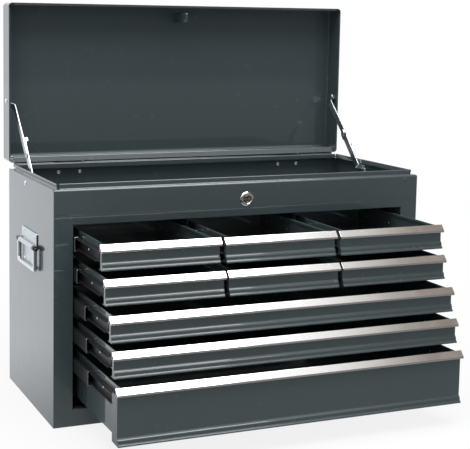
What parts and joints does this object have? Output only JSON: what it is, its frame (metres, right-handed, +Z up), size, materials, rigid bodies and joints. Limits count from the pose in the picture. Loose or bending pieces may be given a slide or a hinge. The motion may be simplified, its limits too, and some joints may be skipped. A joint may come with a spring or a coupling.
{
  "type": "machinist tool chest",
  "caption": "Grey sheet steel tool chest with a lift-up lid on folding stays, a lock, bail handles and slide-out drawers with aluminium pulls.",
  "frame": {"origin": "middle of the underside of the case", "axes": "+Z up, -Y towards the front with the drawers, +X to the right seen from the front"},
  "size_m": [0.6176, 0.478, 0.609],
  "materials": {
    "grey_paint": "satin",
    "inner_paint": "satin",
    "aluminium_trim": "satin",
    "black_steel": "satin",
    "zinc_steel": "satin",
    "chrome_steel": "polished"
  },
  "bodies": {
    "case": {"case_side_left": "grey_paint", "case_side_right": "grey_paint", "case_back": "grey_paint", "case_base": "grey_paint", "front_fascia": "grey_paint", "front_frame": "grey_paint", "till_floor": "inner_paint", "drawer_dividers": "inner_paint", "slide_panel_left": "inner_paint", "slide_panel_right": "inner_paint", "hinge_case_leaf_left": "zinc_steel", "hinge_case_leaf_right": "zinc_steel", "lock_barrel": "chrome_steel", "handle_plate_left": "zinc_steel", "handle_plate_right": "zinc_steel"},
    "lid": {"lid_shell": "grey_paint", "lid_catch": "grey_paint"},
    "stay_lower": {"stay_lower_left": "zinc_steel", "stay_lower_right": "zinc_steel"},
    "stay_upper": {"stay_upper_left": "zinc_steel", "stay_upper_right": "zinc_steel"},
    "lock_cylinder": {"lock_plug": "chrome_steel"},
    "bail_left": {"handle_bail_left": "chrome_steel"},
    "bail_right": {"handle_bail_right": "chrome_steel"},
    "drawer_1_left": {"drawer_1_left_tray": "grey_paint", "drawer_1_left_trim": "aluminium_trim"},
    "drawer_1_left_slides": {"drawer_1_left_slide_left": "black_steel", "drawer_1_left_slide_right": "black_steel"},
    "drawer_1_middle": {"drawer_1_middle_tray": "grey_paint", "drawer_1_middle_trim": "aluminium_trim"},
    "drawer_1_middle_slides": {"drawer_1_middle_slide_left": "black_steel", "drawer_1_middle_slide_right": "black_steel"},
    "drawer_1_right": {"drawer_1_right_tray": "grey_paint", "drawer_1_right_trim": "aluminium_trim"},
    "drawer_1_right_slides": {"drawer_1_right_slide_left": "black_steel", "drawer_1_right_slide_right": "black_steel"},
    "drawer_2_left": {"drawer_2_left_tray": "grey_paint", "drawer_2_left_trim": "aluminium_trim"},
    "drawer_2_left_slides": {"drawer_2_left_slide_left": "black_steel", "drawer_2_left_slide_right": "black_steel"},
    "drawer_2_middle": {"drawer_2_middle_tray": "grey_paint", "drawer_2_middle_trim": "aluminium_trim"},
    "drawer_2_middle_slides": {"drawer_2_middle_slide_left": "black_steel", "drawer_2_middle_slide_right": "black_steel"},
    "drawer_2_right": {"drawer_2_right_tray": "grey_paint", "drawer_2_right_trim": "aluminium_trim"},
    "drawer_2_right_slides": {"drawer_2_right_slide_left": "black_steel", "drawer_2_right_slide_right": "black_steel"},
    "drawer_3": {"drawer_3_tray": "grey_paint", "drawer_3_trim": "aluminium_trim"},
    "drawer_3_slides": {"drawer_3_slide_left": "black_steel", "drawer_3_slide_right": "black_steel"},
    "drawer_4": {"drawer_4_tray": "grey_paint", "drawer_4_trim": "aluminium_trim"},
    "drawer_4_slides": {"drawer_4_slide_left": "black_steel", "drawer_4_slide_right": "black_steel"},
    "drawer_5": {"drawer_5_tray": "grey_paint", "drawer_5_trim": "aluminium_trim"},
    "drawer_5_slides": {"drawer_5_slide_left": "black_steel", "drawer_5_slide_right": "black_steel"}
  },
  "joints": [
    {"name": "lid_hinge", "type": "hinge", "parent": "case", "child": "lid", "pos_m": [0, 0.13175, 0.34975], "axis": [1, 0, 0], "range_deg": [0, 90]},
    {"name": "stay_lower_pivot", "type": "hinge", "parent": "case", "child": "stay_lower", "pos_m": [0, 0.028, 0.3345], "axis": [1, 0, 0], "range_deg": [0, 138.5]},
    {"name": "stay_upper_pivot", "type": "hinge", "parent": "lid", "child": "stay_upper", "pos_m": [0, 0.147, 0.452], "axis": [1, 0, 0], "range_deg": [-108.5, 0]},
    {"name": "lock_turn", "type": "hinge", "parent": "case", "child": "lock_cylinder", "pos_m": [0, -0.1275, 0.3194], "axis": [0, -1, 0], "range_deg": [0, 90]},
    {"name": "bail_left_swing", "type": "hinge", "parent": "case", "child": "bail_left", "pos_m": [-0.3051, 0, 0.247], "axis": [0, 1, 0], "range_deg": [0, 95]},
    {"name": "bail_right_swing", "type": "hinge", "parent": "case", "child": "bail_right", "pos_m": [0.3051, 0, 0.247], "axis": [0, -1, 0], "range_deg": [0, 95]},
    {"name": "drawer_1_left_pull", "type": "slide", "parent": "case", "child": "drawer_1_left", "axis": [0, -1, 0], "range_m": [-0.1165, 0.0735]},
    {"name": "drawer_1_left_slide_travel", "type": "slide", "parent": "case", "child": "drawer_1_left_slides", "axis": [0, -1, 0], "range_m": [-0.03049, 0.01931]},
    {"name": "drawer_1_middle_pull", "type": "slide", "parent": "case", "child": "drawer_1_middle", "axis": [0, -1, 0], "range_m": [-0.1205, 0.0695]},
    {"name": "drawer_1_middle_slide_travel", "type": "slide", "parent": "case", "child": "drawer_1_middle_slides", "axis": [0, -1, 0], "range_m": [-0.03153, 0.01827]},
    {"name": "drawer_1_right_pull", "type": "slide", "parent": "case", "child": "drawer_1_right", "axis": [0, -1, 0], "range_m": [-0.1235, 0.0665]},
    {"name": "drawer_1_right_slide_travel", "type": "slide", "parent": "case", "child": "drawer_1_right_slides", "axis": [0, -1, 0], "range_m": [-0.03231, 0.01749]},
    {"name": "drawer_2_left_pull", "type": "slide", "parent": "case", "child": "drawer_2_left", "axis": [0, -1, 0], "range_m": [-0.1325, 0.0575]},
    {"name": "drawer_2_left_slide_travel", "type": "slide", "parent": "case", "child": "drawer_2_left_slides", "axis": [0, -1, 0], "range_m": [-0.04127, 0.01802]},
    {"name": "drawer_2_middle_pull", "type": "slide", "parent": "case", "child": "drawer_2_middle", "axis": [0, -1, 0], "range_m": [-0.1325, 0.0575]},
    {"name": "drawer_2_middle_slide_travel", "type": "slide", "parent": "case", "child": "drawer_2_middle_slides", "axis": [0, -1, 0], "range_m": [-0.04127, 0.01802]},
    {"name": "drawer_2_right_pull", "type": "slide", "parent": "case", "child": "drawer_2_right", "axis": [0, -1, 0], "range_m": [-0.1325, 0.0575]},
    {"name": "drawer_2_right_slide_travel", "type": "slide", "parent": "case", "child": "drawer_2_right_slides", "axis": [0, -1, 0], "range_m": [-0.04127, 0.01802]},
    {"name": "drawer_3_pull", "type": "slide", "parent": "case", "child": "drawer_3", "axis": [0, -1, 0], "range_m": [-0.1555, 0.0445]},
    {"name": "drawer_3_slide_travel", "type": "slide", "parent": "case", "child": "drawer_3_slides", "axis": [0, -1, 0], "range_m": [-0.07951, 0.02289]},
    {"name": "drawer_4_pull", "type": "slide", "parent": "case", "child": "drawer_4", "axis": [0, -1, 0], "range_m": [-0.1685, 0.0315]},
    {"name": "drawer_4_slide_travel", "type": "slide", "parent": "case", "child": "drawer_4_slides", "axis": [0, -1, 0], "range_m": [-0.08614, 0.01627]},
    {"name": "drawer_5_pull", "type": "slide", "parent": "case", "child": "drawer_5", "axis": [0, -1, 0], "range_m": [-0.1835, 0.0165]},
    {"name": "drawer_5_slide_travel", "type": "slide", "parent": "case", "child": "drawer_5_slides", "axis": [0, -1, 0], "range_m": [-0.09378, 0.00861]}
  ],
  "couplings": [
    {"joint": "stay_lower_pivot", "follows": "lid_hinge", "ratio": 1.5364},
    {"joint": "stay_upper_pivot", "follows": "lid_hinge", "ratio": -1.205},
    {"joint": "drawer_1_left_slide_travel", "follows": "drawer_1_left_pull", "ratio": 0.26},
    {"joint": "drawer_1_middle_slide_travel", "follows": "drawer_1_middle_pull", "ratio": 0.26},
    {"joint": "drawer_1_right_slide_travel", "follows": "drawer_1_right_pull", "ratio": 0.26},
    {"joint": "drawer_2_left_slide_travel", "follows": "drawer_2_left_pull", "ratio": 0.31},
    {"joint": "drawer_2_middle_slide_travel", "follows": "drawer_2_middle_pull", "ratio": 0.31},
    {"joint": "drawer_2_right_slide_travel", "follows": "drawer_2_right_pull", "ratio": 0.31},
    {"joint": "drawer_3_slide_travel", "follows": "drawer_3_pull", "ratio": 0.51},
    {"joint": "drawer_4_slide_travel", "follows": "drawer_4_pull", "ratio": 0.51},
    {"joint": "drawer_5_slide_travel", "follows": "drawer_5_pull", "ratio": 0.51}
  ]
}
